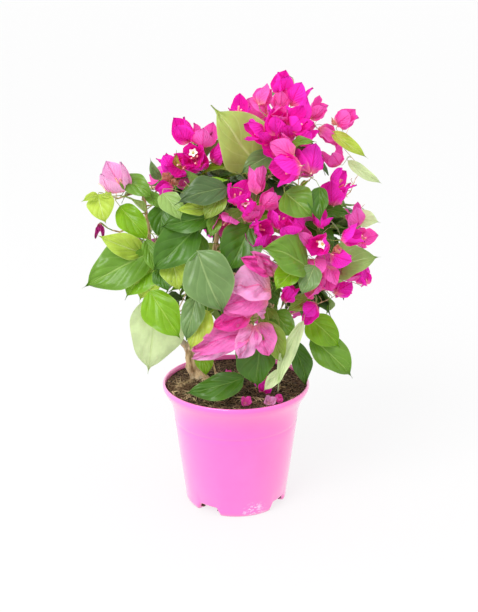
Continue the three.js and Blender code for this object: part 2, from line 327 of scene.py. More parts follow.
def makeBars(name, share, material):
    # round bars across the ends of each notch: as drills for the drain holes, or as the soil in them
    bm = bmesh.new()
    for notch in range(pot["notches"]):
        for end in (-1, 1):
            aside = end * (pot["notchHalf"] + pot["drainAside"])
            turn = math.radians(pot["firstNotch"] + notch * 360 / pot["notches"] + aside)
            outward = Vector((math.sin(turn), -math.cos(turn), 0))
            made = bmesh.ops.create_cone(
                bm, cap_ends=True, segments=16, radius1=1, radius2=1, depth=1
            )["verts"]
            size = Vector((pot["drain"] / 2, pot["drain"] / 2, pot["drainLength"]))
            bmesh.ops.scale(bm, verts=made, vec=size * share * mm)
            place = outward * (pot["foot"] - pot["drainIn"]) * mm + Vector((0, 0, pot["drainAt"] * mm))
            aimed(bm, made, Vector((0, 0, 1)).cross(outward), place)
    return finished(name, bm, material)


def makePot():
    bm = spun(potProfile(), pot["turns"])
    blend = pot["blend"] * mm
    for vert in bm.verts:
        reach = math.hypot(vert.co.x, vert.co.y) / mm
        if vert.co.z < blend and reach > pot["hub"]:
            rise = notchShare(vert.co.x, vert.co.y) * pot["notchHeight"] * mm
            vert.co.z += rise * min((reach - pot["hub"]) / pot["rise"], 1) * (1 - vert.co.z / blend)
    shell = finished("potShell", bm, potMaterial)
    drills = makeBars("drills", 1, potMaterial)
    cut = shell.modifiers.new("drains", "BOOLEAN")
    cut.operation = "DIFFERENCE"
    cut.solver = "EXACT"
    cut.object = drills
    mesh = evaluated(shell)
    bpy.data.objects.remove(drills)
    return newObject("potShell", mesh, potMaterial)


# Orchid plastic: faintly cloudy, with a whitish rub on the right half of the front foot, and a painted sheen
# that pales it towards its outline.
orchid = {
    "base": (0.93, 0.1, 0.47), "cloud": (0.95, 0.12, 0.5), "paintedEdgeSheen": (0.98, 0.45, 0.72),
    "rub": (0.97, 0.6, 0.8), "rubAt": (22, -57, 3), "rubFrom": 7, "rubTo": 19,
}
potMaterial, tree, shader = newMaterial("orchidPlastic", 0.34)
rubAt = Vector(orchid["rubAt"]) * mm
near = addNode(tree, "VectorMath", {0: addNode(tree, "TexCoord")["Object"], 1: rubAt}, operation="DISTANCE")
rubbed = ramp(tree, near["Value"], orchid["rubFrom"] * mm, orchid["rubTo"] * mm, 1, 0)
rub = calc(tree, "MULTIPLY", rubbed, grain(tree, 210, 0.5, 0.62, (1, 1, 2))["Mask"])
plastic = mixColour(tree, grain(tree, 12)["Mask"], orchid["base"], orchid["cloud"])
# painted highlight: the colour turns paler pink where the surface turns edge-on, a sheen painted into the
# base colour
slant = addNode(tree, "LayerWeight", {"Blend": 0.3})["Facing"]
plastic = mixColour(tree, calc(tree, "MULTIPLY", slant, 0.7), plastic, orchid["paintedEdgeSheen"])
tree.links.new(mixColour(tree, rub, plastic, orchid["rub"]), shader.inputs["Base Color"])
dulled = calc(tree, "ADD", calc(tree, "MULTIPLY", grain(tree, 60)["Mask"], 0.06), 0.32)
dulled = calc(tree, "ADD", dulled, calc(tree, "MULTIPLY", rub, 0.3))
tree.links.new(dulled, shader.inputs["Roughness"])
bump(tree, shader, grain(tree, 500)["Height"], 0.06, 0.2 * mm)
shader.inputs["Coat Weight"].default_value = 1
shader.inputs["Coat Roughness"].default_value = 0.12
settle(makePot(), ["pot"])
print("pot")

# The soil, in millimetres: a lumpy top that is heaped round the trunk, with clods and root fibres on it.
soil = {
    "fill": 8, "dip": 6, "dipTo": 50, "gap": 0.6, "floor": 13.5, "rings": 30, "turns": 120, "lump": 9,
    "rise": 2.4, "drainShare": 0.75, "heap": 2.5, "heapAt": (-48, -12), "heapSize": 34,
    "clods": 900, "clodSize": (0.7, 2.6), "fibres": 460, "tangle": (-58, -16), "tangleSize": 14,
    "fibreThick": (0.4, 1.3), "fibreLength": (9, 30), "fibrePoints": 9,
}
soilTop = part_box("root_ball")[1][2] + soil["fill"] * mm
mouth = pot["flare"] - pot["wall"] - soil["gap"]


def soilHeight(x, y):
    off = math.hypot(x / mm - soil["heapAt"][0], y / mm - soil["heapAt"][1]) / soil["heapSize"]
    heap = soil["heap"] * math.exp(-off * off)
    dip = soil["dip"] * min(max(y / mm / soil["dipTo"], 0), 1)
    return soilTop + (lumps((x, y, 0), soil["lump"] * mm, 3) * soil["rise"] * 0.6 - 1 + heap - dip) * mm


def makeSoil():
    inner = pot["wall"] + soil["gap"]
    top = [(mouth * share, soilTop / mm) for share in np.linspace(0.002, 1, soil["rings"])]
    side = arc((mouth, soilTop / mm - 1), (pot["wallTop"] - inner + 0.6, pot["wallTopAt"] + 3), 0.075, 8)
    side += [(pot["wallTop"] - inner, pot["wallTopAt"] - 2)]
    side += [(pot["wallFoot"] - inner - 2, 24), (pot["foot"] - 9, soil["floor"]), (0.01, soil["floor"])]
    bm = spun(top + side, soil["turns"])
    for vert in bm.verts:
        if vert.co.z > soilTop - 0.1 * mm:
            edge = min(math.hypot(vert.co.x, vert.co.y) / (mouth * mm), 1)
            vert.co.z += (soilHeight(vert.co.x, vert.co.y) - soilTop) * (1 - 0.7 * edge**8)
    return finished("soilBody", bm, soilMaterial)


def scatter(rng, most):
    # an even random place on the soil, in metres
    reach = most * math.sqrt(rng.random()) * mm
    turn = rng.random() * math.tau
    return row(reach * math.cos(turn), reach * math.sin(turn))


def makeClods():
    rng = np.random.default_rng(11)
    bm = bmesh.new()
    for _ in range(soil["clods"]):
        x, y = scatter(rng, mouth - 1)
        size = rng.uniform(*soil["clodSize"]) * rng.uniform(0.5, 1) * mm
        made = bmesh.ops.create_icosphere(bm, subdivisions=1, radius=size)["verts"]
        for vert in made:
            vert.co *= 1 + 0.4 * lumps(vert.co, size * 1.3, x * 900, 2)
            vert.co.z *= 0.75
        bmesh.ops.translate(bm, verts=made, vec=(x, y, soilHeight(x, y) + size * 0.3))
    piece = finished("soilClods", bm, soilMaterial)
    piece.data.shade_flat()
    return piece


def stems(name, paths, material, sides=1):
    # round stems along paths of (points, radii), as one mesh
    curve = bpy.data.curves.new(name, "CURVE")
    curve.dimensions = "3D"
    curve.bevel_depth = 1
    curve.bevel_resolution = sides
    curve.use_fill_caps = True
    for points, radii in paths:
        spline = curve.splines.new("POLY")
        spline.points.add(len(points) - 1)
        spline.points.foreach_set("co", np.hstack([points, np.ones((len(points), 1))]).ravel())
        spline.points.foreach_set("radius", np.asarray(radii, float))
    return newObject(name, evaluated(newThing(name + "Line", curve)), material)


def makeFibres():
    # short curling roots, thick on the ground round the trunk's foot
    rng = np.random.default_rng(12)
    count = soil["fibrePoints"]
    paths = []
    for i in range(soil["fibres"]):
        if i % 5 < 2:
            spot = row(*soil["tangle"]) * mm + rng.normal(0, soil["tangleSize"] * mm, 2)
        else:
            spot = scatter(rng, mouth - 3)
        turn, bend = rng.random() * math.tau, rng.uniform(-3.4, 3.4)
        length = rng.uniform(*soil["fibreLength"]) * mm
        thick = rng.uniform(*soil["fibreThick"]) * mm / 2
        lift = rng.uniform(0.5, 3.5) * mm
        points = []
        for s in np.linspace(0, 1, count):
            reach = math.hypot(*spot)
            if reach > (mouth - 2) * mm:
                spot = spot * (mouth - 2) * mm / reach
            points.append((*spot, soilHeight(*spot) + thick + math.sin(math.pi * s) * lift))
            way = turn + bend * s
            spot = spot + length / (count - 1) * row(math.cos(way), math.sin(way))
        paths.append((np.array(points), thick * np.linspace(1, 0.5, count)))
    return stems("soilFibres", paths, fibreMaterial)


soilMaterial = twoTone(
    "darkSoil", 0.95, 0.15, (0.02, 0.012, 0.008), (0.2, 0.13, 0.075), (380, 0.4, 0.68), (600, 0.7, 0.9)
)
fibreMaterial = twoTone(
    "rootFibre", 0.8, 0.3, (0.13, 0.075, 0.035), (0.72, 0.54, 0.3), (70, 0.45, 0.7), (900, 0.4, 0.2)
)
settle(makeSoil(), ["root_ball"])
settle(makeClods(), ["root_ball"])
settle(makeFibres(), ["root_ball"])
settle(makeBars("drainSoil", soil["drainShare"], soilMaterial), ["root_ball"])
print("soil")

# Trunk and boughs, in millimetres and in shares of the plan: the limbs that everything else grows on.
trunk = {
    "foot": (-41, 12), "lean": (-16, 2, 42), "radius": (6.5, 4.6), "flare": 4.5, "flareHeight": 14,
    "relief": 1.1, "strand": 3.2, "strandOff": 7,
}
boughPlan = {
    "bough_left": {"radius": 3.6, "bend": (-0.5, 0.06, 0.24), "tip": (-0.6, 0, 0.62)},
    "bough_centre": {"radius": 4.2, "bend": (-0.22, 0.12, 0.26), "tip": (0, 0.05, 0.8)},
    "bough_right": {"radius": 3.8, "bend": (0.05, 0.05, 0.17), "tip": (0.5, 0, 0.6)},
    "bough_front": {"radius": 3.2, "bend": (-0.16, -0.2, 0.15), "tip": (0.05, -0.5, 0.4)},
    "bough_back": {"radius": 3.4, "bend": (-0.2, 0.38, 0.2), "tip": (0, 0.6, 0.5)},
}
plan = {"halfWidth": 170, "halfDepth": 120, "foot": 140, "height": 366}
trunkFoot = row(*trunk["foot"], soilTop / mm) * mm
lean = row(*trunk["lean"]) * mm
fork = trunkFoot + lean


def inPlan(share):
    across, deep, up = share
    return row(across * plan["halfWidth"], deep * plan["halfDepth"], plan["foot"] + up * plan["height"]) * mm


def smoothPath(knots, count):
    # a curve through all the knots, evenly sampled in each span
    knots = np.array([2 * knots[0] - knots[1], *knots, 2 * knots[-1] - knots[-2]])
    points = []
    for at in np.linspace(0, len(knots) - 3 - 1e-6, count):
        a, b, c, d = knots[int(at):int(at) + 4]
        s = at % 1
        cubic = (3 * b - a - 3 * c + d) * s**3
        points.append(0.5 * (2 * b + (c - a) * s + (2 * a - 5 * b + 4 * c - d) * s**2 + cubic))
    return np.array(points)


limbs = []  # every limb so far, as its points, its ways and its radii


def addLimb(points, radii):
    ways = np.gradient(points, axis=0)
    limbs.append((points, ways / np.linalg.norm(ways, axis=1)[:, None], np.asarray(radii, float)))
    return points, radii


def trunkPaths():
    # the main stem, and a thinner strand that leans on it from the left and joins it at the fork
    path = smoothPath([trunkFoot - lean * 0.25, trunkFoot, fork], 26)
    above = np.maximum(path[:, 2] - soilTop, 0) / mm
    spread = trunk["flare"] * np.exp(-2 * above / trunk["flareHeight"])
    radii = np.linspace(*trunk["radius"], len(path)) + spread
    start = trunkFoot + row(-trunk["strandOff"], -3, -3) * mm
    middle = (start + fork) / 2 + row(-2.5, -4, 0) * mm
    strand = smoothPath([start, middle, fork + row(0, -1, 4) * mm], 20)
    return [(path, radii * mm), (strand, np.linspace(1, 0.8, 20) * trunk["strand"] * mm)]


woodPaths = trunkPaths()
for name, bough in boughPlan.items():
    start = trunkFoot + 0.94 * lean
    path = smoothPath([start, inPlan(bough["bend"]), inPlan(bough["tip"])], 44)
    woodPaths.append(addLimb(path, bough["radius"] * mm * np.linspace(1, 0.5, 44)))


def makeWood():
    # the limbs' round stems, with long ridges and knobs worked into the surface
    mesh = stems("barkedWood", woodPaths, barkMaterial, sides=7).data
    bm = bmesh.new()
    bm.from_mesh(mesh)
    bmesh.ops.remove_doubles(bm, verts=bm.verts, dist=0.02 * mm)
    bm.normal_update()
    for vert in bm.verts:
        low = max(0.0, 1 - max(vert.co.z - soilTop, 0) / (60 * mm))
        ridge = lumps((vert.co.x, vert.co.y, vert.co.z * 0.25), 3.2 * mm, 5)
        knob = max(lumps(vert.co, 8 * mm, 9, 2), 0) * (0.5 + 2 * low)
        vert.co += vert.normal * (ridge * 0.4 + knob) * trunk["relief"] * mm
    bm.to_mesh(mesh)
    bm.free()
    mesh.shade_smooth()
    return bpy.data.objects["barkedWood"]


barkMaterial, tree, shader = newMaterial("tanBark", 0.85, 0.25)
ridges = grain(tree, 260, 0.34, 0.62, (1, 1, 0.22))["Mask"]
bark = mixColour(tree, ridges, (0.34, 0.2, 0.1), (0.86, 0.63, 0.38))
bark = mixColour(tree, grain(tree, 45, 0.52, 0.7)["Mask"], bark, (0.5, 0.44, 0.34))
tree.links.new(bark, shader.inputs["Base Color"])
bump(tree, shader, grain(tree, 420, stretch=(1, 1, 0.3))["Height"], 0.6, 0.7 * mm)
settle(makeWood(), ["trunk", *boughPlan])
print("trunk and boughs")

# Blades: a leaf or bract is a small grid in its own outline, laid from its base to its tip.
# cells are the grid's faces across and along. round and point shape the outline: how full it is at the base,
# and how it narrows towards the tip. drip is the share of the length that draws out thin. puff swells the
# surface between its side veins, and crinkle creases it.
bladeForm = {
    "leaf": {"cells": (6, 8), "round": 0.6, "point": 1.1, "drip": 0.05, "puff": 0.008, "crinkle": 0.012},
    "bigLeaf": {"cells": (12, 18), "round": 0.6, "point": 0.85, "drip": 0.1, "puff": 0.024, "crinkle": 0.014},
    "bract": {"cells": (7, 8), "round": 0.52, "point": 0.75, "drip": 0, "puff": 0, "crinkle": 0.03},
    "bigBract": {"cells": (14, 16), "round": 0.48, "point": 0.55, "drip": 0, "puff": 0.012, "crinkle": 0.075},
}


def bladeGrid(form):
    # the corners of a grid that is 1 by 1 round the middle, and its faces
    bm = bmesh.new()
    bmesh.ops.create_grid(bm, x_segments=form["cells"][0], y_segments=form["cells"][1], size=0.5)
    bm.verts.ensure_lookup_table()
    spots = np.array([vert.co[:2] for vert in bm.verts])
    faces = np.array([[vert.index for vert in face.verts] for face in bm.faces])
    bm.free()
    return spots, faces


grids = {kind: bladeGrid(form) for kind, form in bladeForm.items()}
blades = {}  # the corner places of each blade, under its tone and kind
leafPairs = 4  # the pairs of side veins


def addBlade(rng, tone, kind, base, tip, facing, wide, fold, arch, wave=0.03, twist=0.2, droop=0.04):
    # fold lifts both halves from the midrib, arch bows the length, wave ruffles the margin, and droop bends
    # the tip. a runs across the blade from -1 to 1, and s along it from 0 to 1
    form = bladeForm[kind]
    a, s = grids[kind][0][:, 0] * 2, grids[kind][0][:, 1] + 0.5
    length = float(np.linalg.norm(tip - base))
    along = unit(tip - base)
    side = unit(np.cross(along, facing))
    out = np.cross(side, along)
    body = np.clip(1 - s / (1 - form["drip"]), 0, 1) ** form["point"]
    body = body + 0.6 * form["drip"] * np.clip(1 - s, 0, 1)
    outline = np.clip(s, 1e-4, 1) ** form["round"] * body
    half = wide * length / 2 * outline / outline.max()
    phase = rng.random(4) * math.tau
    half = half * (1 + 0.12 * np.sign(a) * math.sin(phase[3]) + 0.05 * np.sin(s * 12 + phase[0] + np.sign(a)))
    margin = wave * np.abs(a) ** 1.5 * np.sin(s * 9 + phase[0] + np.sign(a) * phase[1]) * np.sin(np.pi * s)
    crinkle = np.sin(a * 5 + phase[2]) * np.sin(s * 13 + phase[3]) + 0.6 * np.sin(a * 8 + s * 11 + phase[1])
    between = (s - (np.abs(a) / 2) ** 0.8) * leafPairs - 0.5
    puff = np.abs(np.sin(np.pi * between)) * np.abs(a) * (1 - a * a) * 2
    crinkle = (crinkle * form["crinkle"] + puff * form["puff"]) * np.minimum(s * 5, 1)
    lift = np.abs(a) * half * math.sin(fold) + (margin + crinkle) * length
    bow = arch * 4 * s * (1 - s) - droop * np.clip((s - 0.7) / 0.3, 0, 1) ** 2
    turn = rng.normal(0, twist) * (s - 0.3)
    x = a * half * math.cos(fold) + 0.03 * length * np.sin(np.pi * s) * math.sin(phase[2])
    points = base + np.outer(s * length, along)
    points += np.outer(x * np.cos(turn) - lift * np.sin(turn), side)
    points += np.outer(x * np.sin(turn) + lift * np.cos(turn) + bow * length, out)
    blades.setdefault((tone, kind), []).append(points)


def joinBlades(name, tone, kinds, material):
    # every blade of a tone, with the map that its veins follow and one where no two blades overlap
    corners, faces, own, owner = [], [], [], []
    total = 0
    for kind in kinds:
        spots, cells = grids[kind]
        for points in blades.get((tone, kind), []):
            faces.extend((cells + total).tolist())
            own.append(spots[cells.ravel()] + 0.5)
            owner.append(np.full(cells.size, len(corners)))
            corners.append(points)
            total += len(points)
    mesh = bpy.data.meshes.new(name)
    mesh.from_pydata(np.concatenate(corners).tolist(), [], faces)
    own, owner = np.concatenate(own), np.concatenate(owner)
    side = math.ceil(math.sqrt(len(corners)))
    cell = np.stack([owner % side, owner // side], axis=1)
    mesh.uv_layers.new(name="leafUv").data.foreach_set("uv", own.ravel())
    mesh.uv_layers.new(name="OFBake").data.foreach_set("uv", ((cell + 0.05 + own * 0.9) / side).ravel())
    return newObject(name, mesh, material)


# Growing, in millimetres: shoots wander from the nearest limb to where they are needed. pull and stray are
# shares of a shoot's reach: how far it keeps its first and last way, and how far a step goes astray.
growing = {
    "branch": 1.7, "twig": 1.1, "stalk": 0.75, "budStalk": 0.7, "step": 7, "pull": 0.35, "stray": 0.025,
    "loose": 0.35, "thinner": 0.9, "finest": 0.3, "overPot": 2, "besidePot": 4,
}
twigs, stalks, tubes, stars = [], [], [], []
masses = [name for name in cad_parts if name.split("_")[0] in ("blossom", "leaf", "leaves", "sprig")]
leafMasses = [name for name in masses if name.startswith("lea")]
blossomMasses = [name for name in masses if name not in leafMasses]


def massShape(name):
    low, high = (np.array(corner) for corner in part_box(name))
    return (low + high) / 2, (high - low) / 2


crownLow = np.min([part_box(name)[0] for name in masses], axis=0)
crownHigh = np.max([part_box(name)[1] for name in masses], axis=0)
crownMid = (crownLow + crownHigh) / 2


def nearest(goal):
    # the limb point that a new shoot leaves from, rather below the goal than above it
    best = None
    for points, ways, radii in limbs:
        cost = np.linalg.norm(points - goal, axis=1) + 0.5 * np.maximum(points[:, 2] - goal[2], 0)
        i = int(cost.argmin())
        if best is None or cost[i] < best[0]:
            best = (cost[i], points[i], ways[i], radii[i])
    return best[1:]


def growShoot(rng, goal, arrive, radius, kind):
    # a shoot that leaves along its limb, strays a little and reaches the goal along arrive
    start, way, limbRadius = nearest(goal)
    reach = float(np.linalg.norm(goal - start))
    count = max(5, int(reach / (growing["step"] * mm)))
    s = np.linspace(0, 1, count)[:, None]
    pull = growing["pull"]
    bends = (start, start + way * reach * pull, goal - unit(arrive) * reach * pull, goal)
    points = sum(math.comb(3, i) * s**i * (1 - s) ** (3 - i) * bend for i, bend in enumerate(bends))
    stray = np.cumsum(rng.normal(0, growing["stray"] * reach, (count, 3)), axis=0)
    points = points + growing["loose"] * stray * np.sin(np.pi * s) ** 2
    first = min(radius * mm, limbRadius * growing["thinner"])
    radii = np.linspace(first, max(first * 0.5, growing["finest"] * mm), count)
    kind.append((points, radii))
    return points, radii


def inside(place, centre, half, slack):
    # within a mass, and clear of the pot and the soil
    over = place[2] > (potHeight + growing["overPot"]) * mm
    beside = math.hypot(place[0], place[1]) > (lipRadius + growing["besidePot"]) * mm
    return (over or beside) and place[2] > soilTop and np.linalg.norm((place - centre) / half) < slack


leafForm = {
    "length": (32, 54), "wide": (0.55, 0.8), "petiole": (7, 14), "hang": (0.4, 1.3), "fold": (0.1, 0.4),
    "arch": (0.02, 0.12), "tries": 8,
}


def growLeaf(rng, spot, outward, tone, length, shape):
    # a leaf stands off its twig on a petiole, then hangs a little. It stays within its mass
    for _ in range(leafForm["tries"]):
        away = unit(outward + rng.normal(0, 0.45, 3) + row(0, 0, 0.2))
        base = spot + away * rng.uniform(*leafForm["petiole"]) * mm
        tip = base + unit(away + row(0, 0, -rng.uniform(*leafForm["hang"]))) * length * mm
        if inside(base, *shape, 1.05) and inside(tip, *shape, 1.2):
            facing = unit(away * 0.8 + row(0, 0, 0.8) + rng.normal(0, 0.25, 3))
            addBlade(
                rng, tone, "leaf", base, tip, facing, rng.uniform(*leafForm["wide"]),
                fold=rng.uniform(*leafForm["fold"]), arch=rng.uniform(*leafForm["arch"]),
            )
            knee = (spot + base) / 2 + row(0, 0, 1.5 * mm)
            stalks.append((np.array([spot, knee, base]), row(0.6, 0.5, 0.55) * mm))
            return


bloomForm = {
    "spread": (0.1, 0.5), "wide": (0.74, 0.98), "length": (0.9, 1.08), "cup": (-0.26, -0.14),
    "fold": (0.25, 0.6), "droop": 0.08, "tubeFrom": 20, "tube": 0.5, "splay": 0.28, "bow": 0.03,
}


def addBloom(rng, tone, foot, facing, size, opened=0):
    # three papery bracts stand round three slender tubes, some of which open into a star. A bud has no tubes
    facing = unit(facing + rng.normal(0, 0.1, 3))
    side = unit(np.cross(facing, rng.normal(0, 1, 3)))
    other = np.cross(facing, side)
    spread = rng.uniform(*bloomForm["spread"])
    for i in range(3):
        turn = math.tau * i / 3 + rng.normal(0, 0.15)
        outward = side * math.cos(turn) + other * math.sin(turn)
        opening = spread * rng.uniform(0.8, 1.2)
        stand = facing * math.cos(opening) + outward * math.sin(opening)
        tip = foot + stand * size * mm * rng.uniform(*bloomForm["length"])
        addBlade(
            rng, tone, "bract", foot, tip, facing * math.sin(opening) - outward * math.cos(opening),
            rng.uniform(*bloomForm["wide"]), fold=rng.uniform(*bloomForm["fold"]),
            arch=rng.uniform(*bloomForm["cup"]), droop=bloomForm["droop"],
        )
        if size > bloomForm["tubeFrom"]:
            way = unit(facing + outward * bloomForm["splay"])
            end = foot + way * size * mm * bloomForm["tube"] * rng.uniform(0.85, 1.1)
            middle = (foot + end) / 2 + outward * size * bloomForm["bow"] * mm
            tubes.append((np.array([foot, middle, end]), row(0.7, 1.2, 1.0) * mm))
            if i < opened:
                stars.append((end, way))


def growBloom(rng, tone, foot, facing, size, opened=0, stalk=1):
    addBloom(rng, tone, foot, facing, size, opened)
    growShoot(rng, foot, facing, growing["stalk"] * stalk, stalks)


# What each mass carries. Leaves and bracts go from one place to another in the mass's own box. Both places
# are (across, up) from its middle in tenths of half the box, and how wide the blade is for its length comes
# last. Blooms stand in clusters: how many, the turn of the first from the right, their length in mm, their
# tones, the place of the cluster, and how far it reaches in halves of the box. open is how many show flowers.
# Buds stand among them. fill is how many twigs fill the mass behind, and forward brings its leads nearer.
sprays = {
    "blossom_top": {
        "blooms": [(7, 128, 28, "rose rose hot", (-0.5, -1.5), 0.75), (1, 120, 26, "rose", (-7, -1), 0.75)],
    },
    "blossom_top_front": {"blooms": [(11, 10, 29, "hot hot rose hot", (5.5, -1), 0.75)], "open": 1},
    "blossom_top_right": {"blooms": [(3, 60, 26, "rose hot rose", (-4, 1.5), 0.75)]},
    "blossom_pair": {
        "blooms": [
            (1, 220, 34, "hot", (1, 5), 0.35), (1, 0, 36, "hot", (3, 0.5), 0),
            (1, 90, 28, "rose", (-3, 7), 0),
        ],
        "leaves": [("mid", (-4, 8), (4, 10), 0.4)], "fill": 8,
    },
    "sprig_right_high": {
        "blooms": [(1, 90, 27, "rose", (-5, 4), 0.75)], "buds": 2,
        "leaves": [("lime", (-8, 2), (12, -8), 0.3)],
    },
    "leaf_right_slender": {
        "blooms": [(1, 120, 25, "rose", (-6, 3.5), 0.75)], "leaves": [("pale", (-5, 7), (9, -9), 0.28)],
    },
    "blossom_right_fan": {
        "blooms": [(3, 300, 32, "hot hot rose", (-8, -1.5), 0.75)],
        "leaves": [("deep", (-12, -7), (2, -8), 0.6)],
    },
    "blossom_right_edge": {
        "blooms": [(1, 90, 34, "rose", (-1, -4), 0.75)], "leaves": [("pale", (-2, 0), (11, 0), 0.7)],
    },
    "leaves_right_edge": {
        "blooms": [(1, 0, 36, "hot", (1.5, -6.5), 0), (1, 45, 24, "rose", (-3, 7), 0.75)],
        "leaves": [("light", (-11, -3), (6, 4), 0.72)], "fill": 3, "forward": 0.5,
    },
    "blossom_right_low": {"blooms": [(6, 60, 28, "hot rose", (-2.5, 5.5), 0.75)], "fill": 2},
    "blossom_heart": {
        "blooms": [(8, 45, 27, "hot rose hot", (1, 0), 0.9), (2, 100, 26, "hot rose", (-7.5, 2), 0.6)],
        "open": 1, "buds": 2, "fill": 8,
    },
    "blossom_middle": {
        "blooms": [(7, 100, 28, "hot rose rose hot", (-1, -1), 0.75), (1, 0, 30, "hot", (9, -7), 0)],
        "open": 2, "fill": 6,
    },
    "leaves_middle_right": {
        "leaves": [("mid", (-6, 4), (4, -4), 0.95), ("deep", (6, 6), (6, -6), 0.6)], "fill": 4,
        "forward": 0.9,
    },
    "leaves_middle_high": {
        "leaves": [("sage", (2, 12), (-8, 2), 0.6), ("fresh", (6, 10), (-1, 2), 0.5)], "fill": 6,
    },
    "leaf_crest": {
        "blooms": [(1, 90, 25, "hot", (1, 4), 0.75)], "leaves": [("crest", (9, -7.5), (-9, 9.5), 0.82)],
        "forward": 0.8,
    },
    "blossom_left": {"blooms": [(7, 150, 30, "hot hot rose hot", (-1.5, 1), 0.75)], "open": 1, "buds": 3},
    "blossom_left_low": {
        "blooms": [(4, 200, 23, "hot rose hot", (2, -3), 0.75)], "buds": 3,
        "leaves": [("sage", (-8, -4), (-12, 6), 0.38), ("lime", (2, -2), (2, 9), 0.45)],
    },
    "leaves_shoulder": {
        "leaves": [
            ("shade", (8, 5), (-7, 1), 0.55), ("olive", (7, 3), (1, -5), 0.6),
            ("light", (-11, 3), (-5, -5), 0.7), ("lime", (2, -2), (-7, -1), 0.45),
            ("mid", (5, -5), (3, -11), 0.6), ("deep", (3, -5), (-12, -7), 0.55),
        ],
        "fill": 9,
    },
    "blossom_far_left": {"blooms": [(1, 90, 38, "blush", (8, -1), 0.75)]},
    "leaves_far_left": {
        "leaves": [
            ("lime", (-4, 12), (-1, 2), 0.95), ("lime", (-4, 12), (-9, 11), 0.5),
            ("lime", (-2, 12), (2, 12), 0.6),
        ],
        "bracts": [("withered", (-4, 1), (-5, -3), 0.25), ("withered", (-4, 1), (-2, -3), 0.25)], "fill": 0,
    },
    "leaves_left_high": {
        "leaves": [
            ("fresh", (-9, 1), (3, -11), 0.58), ("mid", (-8, 11), (5, 5), 0.6), ("mid", (2, 6), (7, 1), 0.6),
            ("deep", (8, 2), (7, -11), 0.72),
        ],
        "fill": 6,
    },
    "leaves_left": {
        "leaves": [
            ("mid", (7, 4), (-12, -7), 0.62), ("lime", (5, 4), (-7, 12), 0.5),
            ("lime", (9, 0), (4, -12), 0.8), ("fresh", (8, -1), (0, -11), 0.75),
        ],
        "fill": 0,
    },
    "leaves_left_middle": {
        "leaves": [
            ("deep", (3, 9), (-10, -5), 0.68), ("mid", (-11, 5), (-8, -6), 0.45),
            ("lime", (-4, -1), (-2, -12), 0.75), ("deep", (-8, -5), (-5, -12), 0.8),
        ],
        "fill": 9,
    },
    "leaf_centre": {"leaves": [("sage", (-2, 7), (9, -10), 0.74)]},
    "leaves_centre_dark": {"leaves": [("deep", (5, 5), (-3, -12), 0.85)]},
    "leaves_centre_right": {
        "blooms": [(1, 90, 28, "hot", (-7, 0.5), 0.75)],
        "leaves": [
            ("mid", (6, -3), (-7, 6), 0.8), ("fresh", (3, -3), (-3, -9), 0.8),
            ("sage", (8, -2), (4, -11), 0.7),
        ],
        "fill": 9, "forward": 0.3,
    },
    "blossom_pale_high": {
        "bracts": [
            ("rose", (7, 1), (-3, 8), 0.5), ("candy", (8, 0), (1, 10), 0.4),
            ("blush", (7, -6), (-7, -3), 1.05), ("candy", (6, -8), (-10, -10), 0.6),
        ],
    },
    "blossom_pale_low": {
        "bracts": [
            ("candy", (5, 3), (-4, 6), 0.6), ("blush", (8, 2), (5, 9), 0.8),
            ("candy", (5, -4), (-12, -9), 0.5), ("rose", (4, 2), (-6, 0), 0.55),
            ("candy", (7, -1), (9, -11), 0.75), ("blush", (5, -2), (1, -12), 0.75),
            ("blush", (1, -7), (-12, -12), 0.35),
        ],
    },
    "leaves_left_low": {
        "leaves": [
            ("fresh", (-6, 11), (3, -5), 0.62), ("sage", (7, 9), (4, -6), 0.5),
            ("lime", (10, 4), (5, -9), 0.6),
        ],
        "fill": 7, "forward": 0.9,
    },
    "leaf_left_hanging": {"leaves": [("pale", (6, 12), (1, -11), 0.64)]},
    "leaf_foot_middle": {"leaves": [("deep", (4, 5), (2, -8), 0.95)]},
    "leaf_over_soil": {"leaves": [("deep", (7, 7), (-11, -2), 0.43)]},
    "leaves_right_low": {
        "blooms": [(1, 0, 24, "hot", (1, 8), 0)],
        "leaves": [
            ("olive", (10, 6), (1, 2), 0.55), ("mid", (-3, 0), (5, -8), 0.8),
            ("deep", (-6, 11), (-2, 4), 0.8), ("olive", (-6, 2), (-2, -12), 0.55),
        ],
        "fill": 7,
    },
    "leaves_right_skirt": {
        "leaves": [("fresh", (-8, 10), (6, 2), 0.75), ("mid", (-7, 4), (12, -7), 0.6)], "fill": 0,
    },
    "leaf_front_hanging": {
        "leaves": [
            ("pale", (12, 9), (-4, -12), 0.2), ("pale", (0, -6), (-12, -12), 0.45),
            ("olive", (-12, 9), (0, -4), 0.5),
        ],
    },
    "leaf_right_foot": {"leaves": [("deep", (-3, 5), (8, -12), 0.45)]},
    "bough_front": {"leaves": [("fresh", (-4, -3), (-1, -12), 0.65)]},
}
goldenAngle = 137.5  # between one bloom of a cluster and the next
# Twigs that fill a mass. tones are how often each tone comes up, hidden and core are for the masses behind.
fill = {
    "leaves": 7, "blossom": 4, "sprig": 4, "hidden": 20, "core": 36, "leavesEach": 3, "turn": 2.4,
    "depth": (0.5, 0.8),
    # deep and shade come up most: partly the leaves' own darker green, partly painted shade for the leaves
    # that fill a mass behind its leads
    "tones": {"deep": 5, "shade": 4, "mid": 5, "fresh": 3, "sage": 2, "olive": 1, "lime": 1},
}
hiddenSpray = {"size": 28, "tones": "hot rose hot rose", "every": 4, "within": 0.6}


def growHiddenSpray(rng, goal, half, outward, opened):
    # a few blooms on the far side of the bush, the first of which may be open
    for j, tone in enumerate(hiddenSpray["tones"].split()):
        foot = goal + half * rng.normal(0, 0.2, 3)
        facing = outward + row(0, 0, 0.3) + rng.normal(0, 0.4, 3)
        growBloom(rng, tone, foot, facing, hiddenSpray["size"] * rng.uniform(0.85, 1.1), opened * (j == 0))


